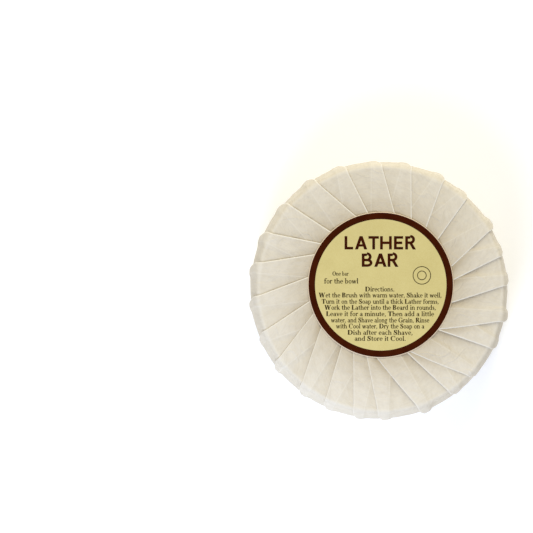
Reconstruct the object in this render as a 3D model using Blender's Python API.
"""A puck of shaving soap: a round cake, wrapped by hand in one pleated paper and closed with a round label.

Metres, +Z up.  The puck lies on the flat back of its wrapper with the label uppermost.  The origin is at the
middle of the back, +Z points to the label, and +Y points to the top of the label's print.
"""

import math

import bmesh
import bpy
import numpy as np

# The cake of soap: flat faces, a small round edge, and a side that swells out to its middle
CAKE_THICKNESS = 0.0240
CAKE_EDGE_DIAMETER = 0.0774
CAKE_SWELL = 0.0020
CAKE_EDGE_RADIUS = 0.0015
DISH_DIAMETER = 0.0600
DISH_DEPTH = 0.0008
DISH_SLOPE = 0.0020

# The wrapper: thin paper, so its solid is as thick as the plies and the air between them
CLEARANCE = 0.0003
WRAP_THICKNESS = 0.0005

# The pleats: folded one over the next all the way round, each running past the middle on one side
PLEAT_COUNT = 24
PLEAT_MISS = 0.0092
PLEAT_STEP_ON_RIM = 0.0009
PLEAT_STEP_ON_FACE = 0.0003
PLEAT_COLUMNS = (0.0, 0.2, 0.45, 0.7, 0.93)
FACE_RISE = 0.0002
EYE_RADIUS = 0.0150

# The closing label, which is stuck on by hand and sits a little towards the top of its print
LABEL_DIAMETER = 0.0462
LABEL_THICKNESS = 0.00025
LABEL_OFF_CENTRE = 0.0014
LABEL_SEGMENTS = 96

TURNED_SEGMENTS = 72
CORNER_STEPS = 3
SIDE_STEPS = 4

# Heights and radii that follow
CAKE_EDGE_REACH = CAKE_EDGE_DIAMETER / 2
CAKE_FLAT_RADIUS = CAKE_EDGE_REACH - CAKE_EDGE_RADIUS
CAKE_BOTTOM = WRAP_THICKNESS + CLEARANCE
CAKE_TOP = CAKE_BOTTOM + CAKE_THICKNESS
FACE_HEIGHT = CAKE_TOP + CLEARANCE + WRAP_THICKNESS
LABEL_BOTTOM = FACE_HEIGHT + FACE_RISE + PLEAT_STEP_ON_FACE + CLEARANCE

# Colour (red, green, blue), roughness and metallic value of each piece
FINISHES = {
    "soap_cake": ((0.86, 0.80, 0.66), 0.45, 0.0),
    "pleated_wrapper": ((0.76, 0.69, 0.56), 0.62, 0.0),
    "closure_label": ((0.66, 0.57, 0.28), 0.50, 0.0),
}


def clear_scene():
    """Removes every object, so that the model starts from an empty scene."""
    for thing in list(bpy.data.objects):
        bpy.data.objects.remove(thing, do_unlink=True)


def finish_for(name):
    """Makes the Principled material of one piece."""
    colour, roughness, metallic = FINISHES[name]
    material = bpy.data.materials.new(name)
    material.use_nodes = True
    shader = material.node_tree.nodes["Principled BSDF"]
    shader.inputs["Base Color"].default_value = (*colour, 1.0)
    shader.inputs["Roughness"].default_value = roughness
    shader.inputs["Metallic"].default_value = metallic
    return material


def skin_rings(name, rings):
    """Joins a stack of closed rings, each an array of the same number of points, into one solid.

    The first and the last ring are closed with a flat face each.
    """
    shape = bmesh.new()
    loops = [[shape.verts.new(point) for point in ring] for ring in rings]
    for lower, upper in zip(loops, loops[1:]):
        for here in range(len(lower)):
            after = (here + 1) % len(lower)
            shape.faces.new((lower[here], lower[after], upper[after], upper[here]))
    shape.faces.new(loops[0])
    shape.faces.new(loops[-1])
    bmesh.ops.recalc_face_normals(shape, faces=shape.faces)
    mesh = bpy.data.meshes.new(name)
    shape.to_mesh(mesh)
    shape.free()
    mesh.materials.append(finish_for(name))
    mesh.shade_smooth()
    mesh.set_sharp_from_angle(angle=math.radians(32))
    thing = bpy.data.objects.new(name, mesh)
    bpy.context.scene.collection.objects.link(thing)
    return thing


def corner(centre_height, radius, start_degrees, end_degrees):
    """Points (radius, height) round the cake's edge or a shell over it, from one angle to another."""
    angles = np.radians(np.linspace(start_degrees, end_degrees, CORNER_STEPS + 1))
    return [(CAKE_FLAT_RADIUS + radius * math.cos(a), centre_height + radius * math.sin(a)) for a in angles]


def side_profile(cover):
    """Points (radius, height) from the back's flat, up the side, to the face's flat.

    They lie outside the cake by cover.  The side is a shallow parabola that swells out at its middle.
    """
    low = CAKE_BOTTOM + CAKE_EDGE_RADIUS
    high = CAKE_TOP - CAKE_EDGE_RADIUS
    edge_radius = CAKE_EDGE_RADIUS + cover
    points = corner(low, edge_radius, -90, -15)
    for share in np.linspace(-1.0, 1.0, SIDE_STEPS + 1):
        radius = CAKE_EDGE_REACH + cover + CAKE_SWELL * (1.0 - share ** 2)
        points.append((radius, (low + high) / 2 + share * (high - low) / 2))
    return points + corner(high, edge_radius, 15, 90)


def round_ring(radius, height, segments=TURNED_SEGMENTS):
    """A plain circle of points round the Z axis."""
    angles = np.arange(segments) * (math.tau / segments)
    return np.stack([radius * np.cos(angles), radius * np.sin(angles), np.full(segments, height)], axis=1)


def fold_angle(radius, angle_at_rim):
    """Where a fold lies at one radius: a straight line that misses the middle by PLEAT_MISS."""
    at_rim = math.asin(PLEAT_MISS / CAKE_EDGE_REACH)
    here = math.asin(PLEAT_MISS / radius)
    return angle_at_rim + at_rim - here


def wrapper_ring(radius, height, step_out=0.0, step_up=0.0):
    """One ring of the wrapper, smooth where both steps are nought.

    Each pleat stands proudest at its folded edge and falls away evenly to the next fold, counter-clockwise.
    step_out and step_up are how far that edge stands out sideways and upwards.
    """
    points = []
    for pleat in range(PLEAT_COUNT):
        for share in PLEAT_COLUMNS:
            angle = fold_angle(radius, (pleat + share) * math.tau / PLEAT_COUNT)
            proud = 1.0 - share / PLEAT_COLUMNS[-1]
            out = radius + step_out * proud
            points.append((out * math.cos(angle), out * math.sin(angle), height + step_up * proud))
    return np.array(points)


def make_soap_cake():
    """The pressed cake, with a plain shallow dish pressed in its front."""
    dish_radius = DISH_DIAMETER / 2
    outline = side_profile(0.0)
    outline.append((dish_radius + DISH_SLOPE, CAKE_TOP))
    outline.append((dish_radius + DISH_SLOPE * 0.5, CAKE_TOP - DISH_DEPTH * 0.3))
    outline.append((dish_radius, CAKE_TOP - DISH_DEPTH))
    return skin_rings("soap_cake", [round_ring(radius, height) for radius, height in outline])


def wrapper_outside():
    """The rings from the flat of the back, up the pleated side, and in over the face to the eye.

    The pleats grow out of the smooth back, and turn from standing sideways to standing up over the face.
    """
    rings = []
    for radius, height in side_profile(CLEARANCE + WRAP_THICKNESS):
        up_the_side = height / FACE_HEIGHT
        on_face = np.clip((height - CAKE_TOP) / (FACE_HEIGHT - CAKE_TOP), 0.0, 1.0)
        step_out = PLEAT_STEP_ON_RIM * min(1.0, 2.0 * up_the_side) * (1.0 - on_face)
        rings.append(wrapper_ring(radius, height, step_out, PLEAT_STEP_ON_FACE * on_face))
    for share in (0.33, 0.66, 1.0):
        radius = CAKE_FLAT_RADIUS + (EYE_RADIUS - CAKE_FLAT_RADIUS) * share
        rings.append(wrapper_ring(radius, FACE_HEIGHT + FACE_RISE * share, step_up=PLEAT_STEP_ON_FACE))
    return rings


def wrapper_inside():
    """The rings from the eye, back along the inside of the paper, to the middle of the back."""
    outline = [(EYE_RADIUS, CAKE_TOP + CLEARANCE)] + side_profile(CLEARANCE)[::-1]
    return [wrapper_ring(radius, height) for radius, height in outline]


def make_wrapper():
    """The pleated paper: a flat back, a pleated rim and face, and an open eye that the label covers."""
    return skin_rings("pleated_wrapper", wrapper_outside() + wrapper_inside())


def make_label():
    """The paper disc that is glued over the gathered middle and holds the pleats shut."""
    radius = LABEL_DIAMETER / 2
    rings = [round_ring(radius, height, LABEL_SEGMENTS) for height in (0.0, LABEL_THICKNESS)]
    label = skin_rings("closure_label", rings)
    label.location = (0.0, LABEL_OFF_CENTRE, LABEL_BOTTOM)
    return label


clear_scene()
make_soap_cake()
make_wrapper()
make_label()
